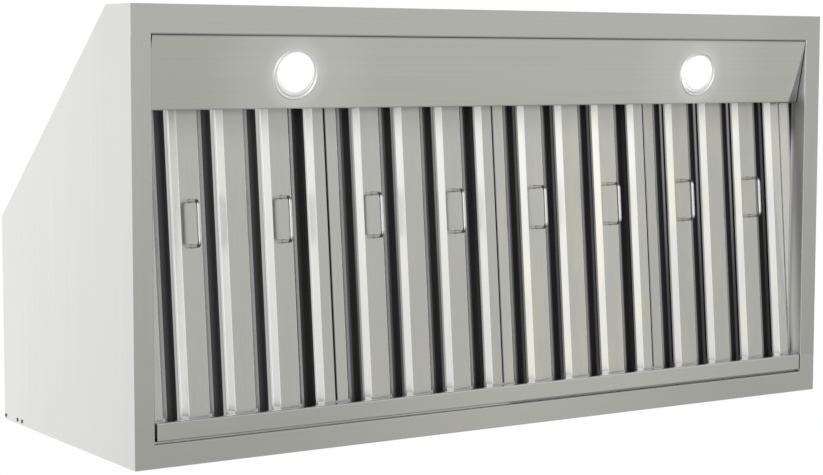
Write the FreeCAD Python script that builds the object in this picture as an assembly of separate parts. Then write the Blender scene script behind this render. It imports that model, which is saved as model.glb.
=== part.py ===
import FreeCAD
import Part
import math
import os

V = FreeCAD.Vector
along_x = V(1, 0, 0)
along_y = V(0, 1, 0)
along_z = V(0, 0, 1)

# The hood hangs on a wall at y = 0, its front points to -Y and its intake faces down at z = 0.

# Canopy envelope and sheet metal
hood_width = 1219.2
hood_depth = 609.6
hood_height = 457.2
lip_height = 76.2
top_depth = 304.8
sheet = 1.2
bend = 1.2
side_lap = 20.0
top_lap = 22.0

# Bottom frame: flat flanges around the intake, each with a wall turned up at its inner edge
side_flange = 29.5
front_flange = 39.6
rear_flange = 32.6
side_return = 64.0
front_return = 18.0
rear_return = 10.0

# Baffle filters, side by side on a gentle slope with the front end high
filter_count = 4
filter_gap = 1.3
filter_side_gap = 3.75
filter_front_lap = 15.9
filter_depth = 26.0
filter_tilt = 4.85
filter_rear_gap = 3.9
filter_rear_z = 21.6
filter_sheet = 0.8
channel_sheet = 1.0
channel_flange = 12.0
baffle_count = 3
baffle_flat = 30.6
side_flat = 18.3
bevel_width = 7.4
bevel_depth = 7.5
brim = 3.0
rear_leg = 9.5
seat_gap = 0.2
ledge_overlap = 10.0
ledge_leg = 24.0
stop_gap = 0.8
stop_rise = 6.0
lip_ledge = 15.0

# Filter pulls of bent rod
pull_span = 61.0
pull_reach = 24.0
pull_rod = 5.0
pull_bend = 8.0
pull_from_front = 169.5

# Light panel between the front flange and the filters
panel_front_z = 0.5
panel_rear_z = 20.0
panel_depth = 99.0
panel_end_gap = 1.2
panel_flange = 16.0

# Round lamps in the light panel
lamp_spacing = 720.0
lamp_from_front = 54.0
lamp_ring = 70.0
lamp_lens = 54.0
lamp_wall = 2.0
lamp_rim = 2.5
lamp_sleeve = 12.0
lamp_hole_gap = 0.5
lamp_body = 16.0
lamp_fin = 1.6
lamp_fin_count = 7
lamp_fin_height = 9.0
lens_thickness = 3.0
lens_recess = 0.6
lens_gap = 0.2

# Grease tray hooked over the rear wall of the bottom frame
tray_sheet = 1.0
tray_bend = 1.0
tray_depth = 25.0
tray_height = 10.0
tray_floor_z = 0.4
tray_rear_gap = 2.5
tray_end_gap = 2.8
hook_seat = 0.3
hook_gap = 0.5
hook_drop = 4.0

# Blower: double-inlet scroll, squirrel-cage wheel and side motor
wheel_radius = 105.0
wheel_width = 160.0
blade_count = 32
blade_chord = 17.0
blade_thickness = 1.0
blade_camber = 4.0
wheel_disc = 2.0
wheel_ring = 2.0
hub_radius = 18.0
hub_length = 40.0
shaft_radius = 6.0
shaft_fit = 0.05
scroll_drop = 193.2
scroll_start = 118.0
scroll_growth = 15.0
scroll_width = 190.0
scroll_sheet = 1.0
outlet_drop = 57.2
tongue_offset = 45.0
tongue_round = 12.0
inlet_radius = 80.0
inlet_throat = 11.0
inlet_flange = 24.0
inlet_fit = 0.5
motor_radius = 45.0
motor_length = 84.0
motor_cap = 12.0
motor_gap = 6.0
bearing_depth = 14.0
arm_count = 3
arm_width = 22.0
arm_sheet = 2.5

# Duct collar on the top panel, with two damper flaps on one rod
collar_radius = 126.2
collar_sheet = 1.0
collar_height = 63.5
collar_flange = 20.0
damper_height = 26.0
damper_rod = 2.5
damper_fit = 0.05
damper_rod_inset = 0.3
damper_barrel = 4.5
damper_barrel_length = 20.0
damper_front_offset = 82.0
damper_rear_offset = 48.0
flap_sheet = 1.0
flap_edge_gap = 1.8
flap_axis_gap = 5.2
flap_stop = 3.6
flap_seat = 0.3

# Controls in a slot of the front lip
button_count = 5
button_pitch = 30.0
button_radius = 8.0
button_fit = 0.3
button_proud = 1.0
button_travel = 1.5
button_flange = 1.5
button_end_gap = 1.3
fascia_width = 170.0
fascia_height = 24.0
fascia_lap = 8.0
fascia_sheet = 2.0
fascia_recess = 0.4
fascia_fit = 0.4
controls_z = 42.0
switch_depth = 22.0

# Electrical boxes on the inside of the back panel
box_width = 120.0
box_height = 80.0
box_depth = 50.0
box_wall = 1.2
box_x = 260.0
box_drop = 117.2
driver_width = 130.0
driver_height = 46.0
driver_depth = 30.0
driver_ear = 14.0
bushing_bore = 9.0
bushing_wall = 2.0
bushing_head = 3.0
bushing_length = 8.0

# Wall fixing holes and small fasteners
wall_hole_radius = 4.0
wall_hole_spacing_x = 812.8
wall_hole_spacing_z = 254.0
wall_hole_drop = 25.4
rivet_radius = 2.6
rivet_height = 1.4
rivet_inset = 6.0
rivet_drops = (3.4, 49.2, 66.4)
screw_radius = 4.0
screw_head = 2.4
screw_count = 6
dome_round = 0.6

# How near an edge lies to the place that names it
tolerance = 0.01

# Places worked out from the sizes above
half_width = hood_width / 2
side_inner = half_width - sheet
open_x = half_width - side_flange
open_front = -hood_depth + front_flange
open_rear = -rear_flange
tilt = math.radians(filter_tilt)
panel_rear_y = open_front + panel_depth
filter_rear_y = open_rear - filter_rear_gap
filter_front_y = panel_rear_y - filter_front_lap
filter_length = (filter_rear_y - filter_front_y) / math.cos(tilt)
filter_front_z = filter_rear_z + filter_length * math.sin(tilt)
filter_pitch = (2 * (open_x - filter_side_gap) + filter_gap) / filter_count
filter_width = filter_pitch - filter_gap
baffle_pitch = (filter_width - 2 * side_flat + baffle_flat) / (baffle_count + 1)
panel_tilt = math.atan2(panel_rear_z - panel_front_z, panel_depth)
top_hole_y = -top_depth / 2
scroll_reach = scroll_start + 4 * scroll_growth
scroll_y = top_hole_y - (tongue_offset + scroll_reach) / 2
scroll_z = hood_height - scroll_drop
scroll_top_z = hood_height - outlet_drop
collar_bore = collar_radius - collar_sheet
damper_z = hood_height + damper_height
lamp_sleeve_radius = lamp_lens / 2 + lamp_wall
box_z = hood_height - box_drop
switch_pocket = button_fit + button_flange + button_travel + button_end_gap


# Height of the filters' face at a depth, and the (y, z) of a point given along and above that face
def face_z(y):
    return filter_rear_z - math.tan(tilt) * (y - filter_rear_y)


def on_slope(along, above):
    y = filter_front_y + along * math.cos(tilt) + above * math.sin(tilt)
    z = filter_front_z - along * math.sin(tilt) + above * math.cos(tilt)
    return y, z


def in_yz(point):
    return V(0, point.x, point.y)


def in_xz(point):
    return V(point.x, 0, point.y)


def box(x0, x1, y0, y1, z0, z1):
    return Part.makeBox(x1 - x0, y1 - y0, z1 - z0, V(x0, y0, z0))


def disc(radius, length, base, axis):
    return Part.makeCylinder(radius, length, base, axis)


def ring(outer, inner, length, base, axis):
    return disc(outer, length, base, axis).cut(disc(inner, length, base, axis))


def line(a, b):
    return Part.LineSegment(a, b).toShape()


def arc(a, middle, b):
    return Part.Arc(a, middle, b).toShape()


def prism(points, direction):
    return Part.Face(Part.makePolygon(points + points[:1])).extrude(direction)


def save(name, *solids):
    shape = solids[0] if len(solids) == 1 else Part.makeCompound(list(solids))
    shape.exportStep("parts/" + name + ".step")
    state = "valid" if shape.isValid() else "INVALID"
    print(name, len(shape.Solids), state, round(shape.Volume / 1000, 2), "cm3")


# Section of a folded sheet: the path is one face of the sheet, which lies to its left
def folded(path, thickness, radius, place):
    points = [V(a, b, 0) for a, b in path]
    ways = [(b - a).normalize() for a, b in zip(points, points[1:])]
    lefts = [V(-way.y, way.x, 0) for way in ways]
    near_start = points[0]
    far_start = points[0] + lefts[0] * thickness
    edges = [line(place(far_start), place(near_start))]
    near_at = near_start
    far_at = far_start
    for i, corner in enumerate(points[1:-1]):
        turn = math.atan2(ways[i].cross(ways[i + 1]).z, ways[i].dot(ways[i + 1]))
        side = math.copysign(1, turn)
        near_radius = radius + thickness if turn > 0 else radius
        far_radius = radius if turn > 0 else radius + thickness
        reach = near_radius * math.tan(abs(turn) / 2)
        arrive = corner - ways[i] * reach
        leave = corner + ways[i + 1] * reach
        centre = arrive + lefts[i] * (side * near_radius)
        spokes = [(p - centre).normalize() for p in (arrive, corner, leave)]
        near_arc = [place(centre + spoke * near_radius) for spoke in spokes]
        far_arc = [place(centre + spoke * far_radius) for spoke in spokes]
        edges += [line(place(near_at), near_arc[0]), arc(*near_arc)]
        edges += [line(place(far_at), far_arc[0]), arc(*far_arc)]
        near_at = leave
        far_at = centre + spokes[2] * far_radius
    near_end = points[-1]
    far_end = points[-1] + lefts[-1] * thickness
    edges.append(line(place(near_at), place(near_end)))
    edges.append(line(place(far_at), place(far_end)))
    edges.append(line(place(near_end), place(far_end)))
    return Part.Face(Part.Wire(Part.__sortEdges__(edges)))


def folded_along_x(path, thickness, radius, x0, x1):
    face = folded(path, thickness, radius, in_yz)
    face.translate(V(x0, 0, 0))
    return face.extrude(V(x1 - x0, 0, 0))


# Solid of revolution about the local Z axis from (radius, height) pairs
def turned(profile):
    points = [V(r, 0, h) for r, h in profile]
    return Part.Face(Part.makePolygon(points + points[:1])).revolve(V(0, 0, 0), along_z, 360)


def canopy_outline(x):
    return [
        V(x, 0, sheet),
        V(x, -hood_depth, sheet),
        V(x, -hood_depth, lip_height),
        V(x, -top_depth, hood_height),
        V(x, 0, hood_height),
    ]


# Flat side panel with a lap turned in behind the back panel
def side_panel(side):
    plate = prism(canopy_outline(side * side_inner), V(side * sheet, 0, 0))
    lap_x = sorted((side * side_inner, side * (side_inner - side_lap)))
    lap = box(lap_x[0], lap_x[1], -2 * sheet, -sheet, side_return, hood_height - top_lap)
    return plate.fuse(lap).removeSplitter()


def fascia_slot(clearance):
    half_w = fascia_width / 2 + clearance
    half_h = fascia_height / 2 + clearance
    return -half_w, half_w, controls_z - half_h, controls_z + half_h


# Front lip and sloping front folded from one sheet, slotted for the controls
def front_canopy():
    path = [(-top_depth, hood_height), (-hood_depth, lip_height), (-hood_depth, sheet)]
    skin = folded_along_x(path, sheet, bend, -side_inner, side_inner)
    x0, x1, z0, z1 = fascia_slot(0)
    return skin.cut(box(x0, x1, -hood_depth - sheet, -hood_depth + 2 * sheet, z0, z1))


# Top sheet with a front lap under the sloping front and the round duct opening
def top_panel():
    slope = math.atan2(hood_height - lip_height, hood_depth - top_depth)
    corner_y = -top_depth + sheet / math.sin(slope)
    lap_end = (corner_y - top_lap * math.cos(slope), hood_height - top_lap * math.sin(slope))
    path = [(-sheet, hood_height), (corner_y, hood_height), lap_end]
    skin = folded_along_x(path, sheet, bend, -side_inner, side_inner)
    return skin.cut(disc(collar_bore, 3 * sheet, V(0, top_hole_y, hood_height - 2 * sheet), along_z))


def wall_holes():
    top = hood_height - wall_hole_drop
    holes = []
    for x in (-wall_hole_spacing_x / 2, wall_hole_spacing_x / 2):
        for z in (top, top - wall_hole_spacing_z):
            holes.append(disc(wall_hole_radius, 3 * sheet, V(x, -2 * sheet, z), along_y))
    return holes


def back_panel():
    plate = box(-side_inner, side_inner, -sheet, 0, 0, hood_height)
    inlet = disc(bushing_bore + bushing_wall, 3 * sheet, V(box_x, -2 * sheet, box_z), along_y)
    return plate.cut(Part.makeCompound(wall_holes() + [inlet]))


# Flanges and upturned walls around the intake, rounded where the sheet folds
def bottom_frame():
    plate = box(-half_width, half_width, -hood_depth, -sheet, 0, sheet)
    side = box(-open_x - sheet, open_x + sheet, open_front - sheet, open_rear + sheet, 0, side_return)
    end = box(-open_x, open_x, open_front - 2 * sheet, open_rear + 2 * sheet, 0, side_return)
    walls = side.cut(end)
    front = box(-open_x, open_x, open_front - sheet, open_front, 0, front_return)
    rear = box(-open_x, open_x, open_rear, open_rear + sheet, 0, rear_return)
    intake = box(-open_x, open_x, open_front, open_rear, -sheet, side_return + sheet)
    frame = plate.multiFuse([walls, front, rear]).cut(intake).removeSplitter()
    rims = []
    for edge in frame.Edges:
        middle = edge.CenterOfMass
        on_side = abs(abs(middle.x) - open_x) < tolerance and edge.Length > panel_depth
        end_offset = min(abs(middle.y - open_front), abs(middle.y - open_rear))
        on_end = end_offset < tolerance and edge.Length > open_x
        if abs(middle.z) < tolerance and (on_side or on_end):
            rims.append(edge)
    return frame.makeFillet(bend + sheet, rims)


def filter_place(index):
    x = (index - (filter_count - 1) / 2) * filter_pitch
    turn = FreeCAD.Rotation(along_x, -filter_tilt)
    return FreeCAD.Placement(V(x, filter_front_y, filter_front_z), turn)


# Section of one front baffle, a shallow hat with bevelled flanks and brims
def baffle_section(x):
    flat = baffle_flat / 2
    foot = flat + bevel_width
    right_half = [(flat, 0), (foot, bevel_depth), (foot + brim, bevel_depth)]
    left_half = [(-a, b) for a, b in reversed(right_half)]
    path = [(x + a, b) for a, b in left_half + right_half]
    return folded(path, filter_sheet, filter_sheet, in_xz)


# Section of one rear baffle, a square channel as wide as a front flat, with its legs towards the front
def channel_section(x):
    left = x - baffle_flat / 2
    right = x + baffle_flat / 2
    leg_end = filter_depth - rear_leg
    path = [(right, leg_end), (right, filter_depth), (left, filter_depth), (left, leg_end)]
    return folded(path, filter_sheet, filter_sheet, in_xz)


def run_of_baffle(section):
    section.translate(V(0, channel_sheet, 0))
    return section.extrude(V(0, filter_length - 2 * channel_sheet, 0))


def baffle_places(count):
    return [(i - (count - 1) / 2) * baffle_pitch for i in range(count)]


def front_baffles():
    return [run_of_baffle(baffle_section(x)) for x in baffle_places(baffle_count)]


def rear_baffles():
    return [run_of_baffle(channel_section(x)) for x in baffle_places(baffle_count + 1)]


# Filter frame: half-baffle side channels and plain end channels that hold the baffle ends
def filter_frame():
    half = filter_width / 2
    flat_inner = (baffle_count + 1) / 2 * baffle_pitch - baffle_flat / 2
    foot = flat_inner - bevel_width
    path = [
        (foot - brim, bevel_depth),
        (foot, bevel_depth),
        (flat_inner, 0),
        (half, 0),
        (half, filter_depth),
        (half - channel_flange, filter_depth),
    ]
    right = run_of_baffle(folded(path, filter_sheet, filter_sheet, in_xz))
    left = right.mirror(V(0, 0, 0), along_x)
    pieces = [right, left]
    for y in (0, filter_length):
        inward = channel_sheet if y == 0 else -channel_sheet
        y0, y1 = sorted((y, y + inward))
        f0, f1 = sorted((y, y + math.copysign(channel_flange, inward)))
        pieces.append(box(-half, half, y0, y1, -channel_sheet, filter_depth + channel_sheet))
        pieces.append(box(-half, half, f0, f1, -channel_sheet, 0))
        pieces.append(box(-half, half, f0, f1, filter_depth, filter_depth + channel_sheet))
    return pieces[0].multiFuse(pieces[1:]).removeSplitter()


# Rod pull on the face of a baffle: two legs, two bends and a bar
def filter_pull(x):
    y0 = pull_from_front - pull_span / 2
    y1 = pull_from_front + pull_span / 2
    low = -pull_reach
    corner = pull_bend * (1 - math.sqrt(0.5))
    leg_ends = [V(x, y0, low + pull_bend), V(x, y1, low + pull_bend)]
    bar_ends = [V(x, y0 + pull_bend, low), V(x, y1 - pull_bend, low)]
    edges = [
        line(V(x, y0, 0), leg_ends[0]),
        arc(leg_ends[0], V(x, y0 + corner, low + corner), bar_ends[0]),
        line(*bar_ends),
        arc(bar_ends[1], V(x, y1 - corner, low + corner), leg_ends[1]),
        line(leg_ends[1], V(x, y1, 0)),
    ]
    rod = Part.Wire(Part.makeCircle(pull_rod / 2, V(x, y0, 0), V(0, 0, -1)))
    return Part.Wire(edges).makePipeShell([rod], True, True)


def filter_pulls():
    places = baffle_places(baffle_count)
    return [filter_pull(places[0]), filter_pull(places[-1])]


def save_filters():
    for index in range(filter_count):
        name = "filter_" + str(index + 1)
        groups = {
            "_frame": [filter_frame()],
            "_front_baffles": front_baffles(),
            "_rear_baffles": rear_baffles(),
            "_pulls": filter_pulls(),
        }
        for ending, solids in groups.items():
            for solid in solids:
                solid.Placement = filter_place(index).multiply(solid.Placement)
            save(name + ending, *solids)


# Ledge that carries the rear ends of the filters: seat, stop wall, shelf and a leg on the back panel
def rear_ledge():
    seat_z = -channel_sheet - seat_gap - sheet
    stop_y = filter_length + stop_gap + sheet
    stop_z = filter_depth + channel_sheet + stop_rise
    shelf_z = on_slope(stop_y, stop_z)[1]
    path = [
        on_slope(filter_length - ledge_overlap, seat_z),
        on_slope(stop_y, seat_z),
        on_slope(stop_y, stop_z),
        (-sheet, shelf_z),
        (-sheet, shelf_z + ledge_leg),
    ]
    return folded_along_x(path, sheet, bend, panel_end_gap - open_x, open_x - panel_end_gap)


def panel_frame(x):
    along = lamp_from_front * math.cos(panel_tilt)
    rise = lamp_from_front * math.sin(panel_tilt)
    turn = FreeCAD.Rotation(along_x, math.degrees(panel_tilt))
    return FreeCAD.Placement(V(x, open_front + along, panel_front_z + rise), turn)


# Light panel: front flange, inclined face, rear wall and the lip that carries the filters' front ends
def light_panel():
    drop = (channel_sheet + seat_gap) / math.cos(tilt)
    lip_z = face_z(panel_rear_y) - drop
    path = [
        (open_front, panel_front_z + panel_flange),
        (open_front, panel_front_z),
        (panel_rear_y, panel_rear_z),
        (panel_rear_y, lip_z),
        (panel_rear_y - lip_ledge * math.cos(tilt), lip_z + lip_ledge * math.sin(tilt)),
    ]
    skin = folded_along_x(path, sheet, bend, panel_end_gap - open_x, open_x - panel_end_gap)
    for x in (-lamp_spacing / 2, lamp_spacing / 2):
        hole = disc(lamp_sleeve_radius + lamp_hole_gap, 6 * sheet, V(0, 0, -3 * sheet), along_z)
        hole.Placement = panel_frame(x)
        skin = skin.cut(hole)
    return skin


# Rim and sleeve that clamp a lamp in the light panel
def lamp_bezel():
    bore = lamp_lens / 2
    return turned([
        (bore, -lamp_rim),
        (lamp_ring / 2 - lamp_rim / 2, -lamp_rim),
        (lamp_ring / 2, -lamp_rim / 2),
        (lamp_ring / 2, 0),
        (lamp_sleeve_radius, 0),
        (lamp_sleeve_radius, lamp_sleeve),
        (bore, lamp_sleeve),
    ])


def lamp_lens_disc():
    base = V(0, 0, lens_recess - lamp_rim)
    return disc(lamp_lens / 2 - lens_gap, lens_thickness, base, along_z)


# Lamp body with a stack of straight cooling fins on its back
def lamp_module():
    top = lamp_sleeve + lamp_body
    body = disc(lamp_sleeve_radius, lamp_body, V(0, 0, lamp_sleeve), along_z)
    pitch = 2 * (lamp_sleeve_radius - lamp_fin) / (lamp_fin_count - 1)
    reach = lamp_sleeve_radius
    fins = []
    for i in range(lamp_fin_count):
        x = (i - (lamp_fin_count - 1) / 2) * pitch - lamp_fin / 2
        fins.append(box(x, x + lamp_fin, -reach, reach, top - lamp_fin, top + lamp_fin_height))
    round_stock = disc(reach, lamp_fin_height + lamp_fin, V(0, 0, top - lamp_fin), along_z)
    return body.fuse(Part.makeCompound(fins).common(round_stock)).removeSplitter()


def save_lamps():
    for name, x in (("left", -lamp_spacing / 2), ("right", lamp_spacing / 2)):
        pieces = {"bezel": lamp_bezel(), "lens": lamp_lens_disc(), "module": lamp_module()}
        for kind, solid in pieces.items():
            solid.Placement = panel_frame(x).multiply(solid.Placement)
            save("lamp_" + name + "_" + kind, solid)


# Trough with a hook along its rear wall and closed ends
def grease_tray():
    rear = open_rear - tray_rear_gap
    front = rear - tray_depth
    hook_z = rear_return + hook_seat
    hook_y = open_rear + sheet + hook_gap
    path = [
        (front, tray_height),
        (front, tray_floor_z),
        (rear, tray_floor_z),
        (rear, hook_z),
        (hook_y, hook_z),
        (hook_y, hook_z - hook_drop),
    ]
    half = open_x - tray_end_gap
    trough = folded_along_x(path, tray_sheet, tray_bend, -half, half)
    inner = tray_floor_z + tray_sheet
    y0 = front + tray_bend
    y1 = rear - tray_bend
    for x in (-half, half - tray_sheet):
        trough = trough.fuse(box(x, x + tray_sheet, y0, y1, inner - tray_sheet / 2, tray_height))
    return trough.removeSplitter()


# Scroll outline in the YZ plane, drawn in by `inset`: four growing arcs, a straight outlet and the tongue
def scroll_face(inset, top_z):
    g = scroll_growth
    radii = [scroll_start + g * (i + 1) - inset for i in range(3)]
    centres = [V(0, -g, 0), V(g, -g, 0), V(g, 0, 0)]
    diagonal = math.sqrt(0.5)
    middles = [V(-diagonal, diagonal, 0), V(-diagonal, -diagonal, 0), V(diagonal, -diagonal, 0)]
    starts = [V(0, 1, 0), V(-1, 0, 0), V(0, -1, 0)]
    ends = [V(-1, 0, 0), V(0, -1, 0), V(1, 0, 0)]
    tongue = tongue_offset + inset
    curl = tongue_round + inset
    roof = scroll_start - inset
    outlet = top_z - scroll_z
    rear = scroll_reach - inset

    def place(y, z):
        return V(0, scroll_y + y, scroll_z + z)

    edges = []
    for centre, radius, start, middle, end in zip(centres, radii, starts, middles, ends):
        spots = [centre + way * radius for way in (start, middle, end)]
        edges.append(arc(*[place(spot.x, spot.y) for spot in spots]))
    bow = curl * (1 - diagonal)
    edges.append(line(place(rear, 0), place(rear, outlet)))
    edges.append(line(place(rear, outlet), place(tongue, outlet)))
    edges.append(line(place(tongue, outlet), place(tongue, roof + curl)))
    lip = place(tongue - curl, roof)
    edges.append(arc(place(tongue, roof + curl), place(tongue - bow, roof + bow), lip))
    edges.append(line(lip, place(0, roof)))
    return Part.Face(Part.Wire(Part.__sortEdges__(edges)))


def scroll_housing():
    half = scroll_width / 2
    outer = scroll_face(0, scroll_top_z)
    outer.translate(V(-half, 0, 0))
    inner = scroll_face(scroll_sheet, scroll_top_z + scroll_sheet)
    inner.translate(V(scroll_sheet - half, 0, 0))
    inlet = inlet_radius + scroll_sheet + inlet_fit
    cavity = inner.extrude(V(scroll_width - 2 * scroll_sheet, 0, 0))
    shell = outer.extrude(V(scroll_width, 0, 0)).cut(cavity)
    return shell.cut(disc(inlet, 2 * scroll_width, V(-scroll_width, scroll_y, scroll_z), along_x))


# Bell-mouthed ring around an inlet of the scroll
def inlet_ring(side):
    half = scroll_width / 2
    solid = turned([
        (inlet_radius, half - inlet_throat),
        (inlet_radius + scroll_sheet, half - inlet_throat),
        (inlet_radius + scroll_sheet, half),
        (inlet_radius + inlet_flange, half),
        (inlet_radius + inlet_flange, half + scroll_sheet),
        (inlet_radius + scroll_sheet, half + scroll_sheet),
        (inlet_radius, half),
    ])
    solid.Placement = FreeCAD.Placement(V(0, scroll_y, scroll_z), FreeCAD.Rotation(along_y, side * 90))
    return solid


# One forward-curved blade: a thin bow between the inner and the outer radius
def blade():
    inner = wheel_radius - blade_chord
    middle = wheel_radius - blade_chord / 2
    half = wheel_width / 2
    t = blade_thickness
    rim = wheel_radius - wheel_ring / 2
    front = [V(-half, 0, inner), V(-half, blade_camber, middle), V(-half, 0, rim)]
    back = [p + V(0, t, 0) for p in reversed(front)]
    edges = [arc(*front), line(front[2], back[0]), arc(*back), line(back[2], front[0])]
    return Part.Face(Part.Wire(edges)).extrude(V(wheel_width, 0, 0))


# Squirrel-cage wheel: ring of blades, middle disc with a hub and two end rings
def wheel():
    half = wheel_width / 2
    pieces = [
        disc(wheel_radius, wheel_disc, V(-wheel_disc / 2, 0, 0), along_x),
        disc(hub_radius, hub_length, V(-hub_length / 2, 0, 0), along_x),
    ]
    ring_bore = wheel_radius - blade_chord - blade_thickness
    for x in (-half, half - wheel_ring):
        pieces.append(ring(wheel_radius, ring_bore, wheel_ring, V(x, 0, 0), along_x))
    for i in range(blade_count):
        vane = blade()
        vane.rotate(V(0, 0, 0), along_x, i * 360 / blade_count)
        pieces.append(vane)
    solid = pieces[0].multiFuse(pieces[1:]).removeSplitter()
    solid = solid.cut(disc(shaft_radius + shaft_fit, wheel_width, V(-half, 0, 0), along_x))
    solid.translate(V(0, scroll_y, scroll_z))
    return solid


def motor_face_x():
    return scroll_width / 2 + scroll_sheet + arm_sheet + motor_gap


def wheel_shaft():
    start = -hub_length / 2
    end = motor_face_x() + bearing_depth - motor_gap / 2
    return disc(shaft_radius, end - start, V(start, scroll_y, scroll_z), along_x)


# Motor can with a domed rear cap and a bearing bore in its front
def motor():
    x = motor_face_x()
    shoulder = motor_radius - motor_cap
    solid = turned([
        (shaft_radius + shaft_fit, 0),
        (motor_radius, 0),
        (motor_radius, motor_length - motor_cap),
        (shoulder, motor_length),
        (0, motor_length),
        (0, bearing_depth),
        (shaft_radius + shaft_fit, bearing_depth),
    ])
    solid.Placement = FreeCAD.Placement(V(x, scroll_y, scroll_z), FreeCAD.Rotation(along_y, 90))
    return solid


# Spider that hangs the motor in the right inlet
def motor_spider():
    x = scroll_width / 2 + scroll_sheet
    rim = inlet_radius + inlet_flange
    pieces = [disc(motor_radius, arm_sheet, V(x, 0, 0), along_x)]
    pieces.append(ring(motor_radius, motor_radius - motor_gap, motor_gap, V(x + arm_sheet, 0, 0), along_x))
    for i in range(arm_count):
        arm = box(x, x + arm_sheet, -arm_width / 2, arm_width / 2, 0, rim)
        arm.rotate(V(0, 0, 0), along_x, i * 360 / arm_count)
        pieces.append(arm)
    solid = pieces[0].multiFuse(pieces[1:]).removeSplitter()
    solid = solid.cut(disc(hub_radius, 4 * arm_sheet, V(x - arm_sheet, 0, 0), along_x))
    solid.translate(V(0, scroll_y, scroll_z))
    return solid


def rectangle_wire(half_x, half_y, z):
    signs = ((1, 1), (-1, 1), (-1, -1), (1, -1))
    corners = [V(a * half_x, b * half_y, z) for a, b in signs]
    return Part.makePolygon(corners + corners[:1])


def quartered_circle(radius, z):
    arcs = []
    for quarter in range(4):
        angles = [math.radians(45 + 90 * quarter + step) for step in (0, 45, 90)]
        arcs.append(arc(*[V(radius * math.cos(a), radius * math.sin(a), z) for a in angles]))
    return Part.Wire(arcs)


# Duct piece from the rectangular scroll outlet to the round opening in the top panel
def outlet_transition():
    half_x = scroll_width / 2
    half_y = (scroll_reach - tongue_offset) / 2
    lofts = []
    for inset in (0, scroll_sheet):
        mouth = rectangle_wire(half_x - inset, half_y - inset, scroll_top_z)
        rim = quartered_circle(collar_bore - inset, hood_height - sheet)
        lofts.append(Part.makeLoft([mouth, rim], True, True))
    solid = lofts[0].cut(lofts[1])
    solid.translate(V(0, top_hole_y, 0))
    return solid


# Round collar with a foot flange, a seat bead for the flaps and two holes for the damper rod
def duct_collar():
    seat = damper_height - flap_sheet / 2 - flap_seat
    solid = turned([
        (collar_bore, 0),
        (collar_radius + collar_flange, 0),
        (collar_radius + collar_flange, sheet),
        (collar_radius, sheet),
        (collar_radius, collar_height),
        (collar_bore, collar_height),
        (collar_bore, seat),
        (collar_bore - flap_stop, seat),
        (collar_bore - flap_stop, seat - flap_sheet),
        (collar_bore, seat - flap_sheet),
    ])
    solid.translate(V(0, top_hole_y, hood_height))
    base = V(-collar_radius, top_hole_y, damper_z)
    return solid.cut(disc(damper_rod + damper_fit, 2 * collar_radius, base, along_x))


def damper_rod_pin():
    half = collar_radius - damper_rod_inset
    return disc(damper_rod, 2 * half, V(-half, top_hole_y, damper_z), along_x)


# Half-round flap with two hinge barrels; side -1 is the front flap and 1 the rear one
def damper_flap(side, offset):
    radius = collar_bore - flap_edge_gap
    plate = disc(radius, flap_sheet, V(0, 0, -flap_sheet / 2), along_z)
    near, far = sorted((side * flap_axis_gap, side * 2 * radius))
    plate = plate.common(box(-radius, radius, near, far, -flap_sheet, flap_sheet))
    pieces = [plate]
    for x in (-offset, offset):
        x0 = x - damper_barrel_length / 2
        pieces.append(disc(damper_barrel, damper_barrel_length, V(x0, 0, 0), along_x))
        y0, y1 = sorted((0, side * 2 * flap_axis_gap))
        pieces.append(box(x0, x0 + damper_barrel_length, y0, y1, -flap_sheet / 2, flap_sheet / 2))
    solid = pieces[0].multiFuse(pieces[1:]).removeSplitter()
    solid = solid.cut(disc(damper_rod + damper_fit, 2 * radius, V(-radius, 0, 0), along_x))
    solid.translate(V(0, top_hole_y, damper_z))
    return solid


def button_places():
    return [(i - (button_count - 1) / 2) * button_pitch for i in range(button_count)]


# Control fascia: a raised face that fills the slot and a lap behind the lip
def control_fascia():
    x0, x1, z0, z1 = fascia_slot(-fascia_fit)
    inside = -hood_depth + sheet
    back = inside + fascia_sheet
    plate = box(x0 - fascia_lap, x1 + fascia_lap, inside, back, z0 - fascia_lap, z1 + fascia_lap)
    raised = box(x0, x1, -hood_depth + fascia_recess, back, z0, z1)
    solid = plate.fuse(raised).removeSplitter()
    for x in button_places():
        base = V(x, -hood_depth - fascia_sheet, controls_z)
        solid = solid.cut(disc(button_radius + button_fit, 4 * fascia_sheet, base, along_y))
    return solid


# Push button: a rounded cap with a flange that the fascia holds back
def push_button(x):
    front = -hood_depth - button_proud
    back = -hood_depth + sheet + fascia_sheet + button_fit
    cap = disc(button_radius, back + button_flange - front, V(x, front, controls_z), along_y)
    rims = [edge for edge in cap.Edges if abs(edge.CenterOfMass.y - front) < tolerance]
    cap = cap.makeFillet(button_proud / 2, rims)
    foot = disc(button_radius + button_flange, button_flange, V(x, back, controls_z), along_y)
    return cap.fuse(foot).removeSplitter()


# Switch block behind the fascia, with a pocket for each button
def switch_block():
    x0, x1, z0, z1 = fascia_slot(fascia_lap)
    front = -hood_depth + sheet + fascia_sheet
    solid = box(x0, x1, front, front + switch_depth, z0, z1)
    pocket = button_radius + 2 * button_flange
    for x in button_places():
        solid = solid.cut(disc(pocket, switch_pocket, V(x, front, controls_z), along_y))
    return solid


def junction_box():
    x0 = box_x - box_width / 2
    z0 = box_z - box_height / 2
    back = -sheet
    front = back - box_depth
    shell = box(x0, x0 + box_width, front, back, z0, z0 + box_height)
    w = box_wall
    shell = shell.cut(box(x0 + w, x0 + box_width - w, front - w, back - w, z0 + w, z0 + box_height - w))
    return shell.cut(disc(bushing_bore + bushing_wall, 4 * w, V(box_x, back - 2 * w, box_z), along_y))


def junction_box_lid():
    x0 = box_x - box_width / 2
    z0 = box_z - box_height / 2
    front = -sheet - box_depth
    return box(x0, x0 + box_width, front - box_wall, front, z0, z0 + box_height)


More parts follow.
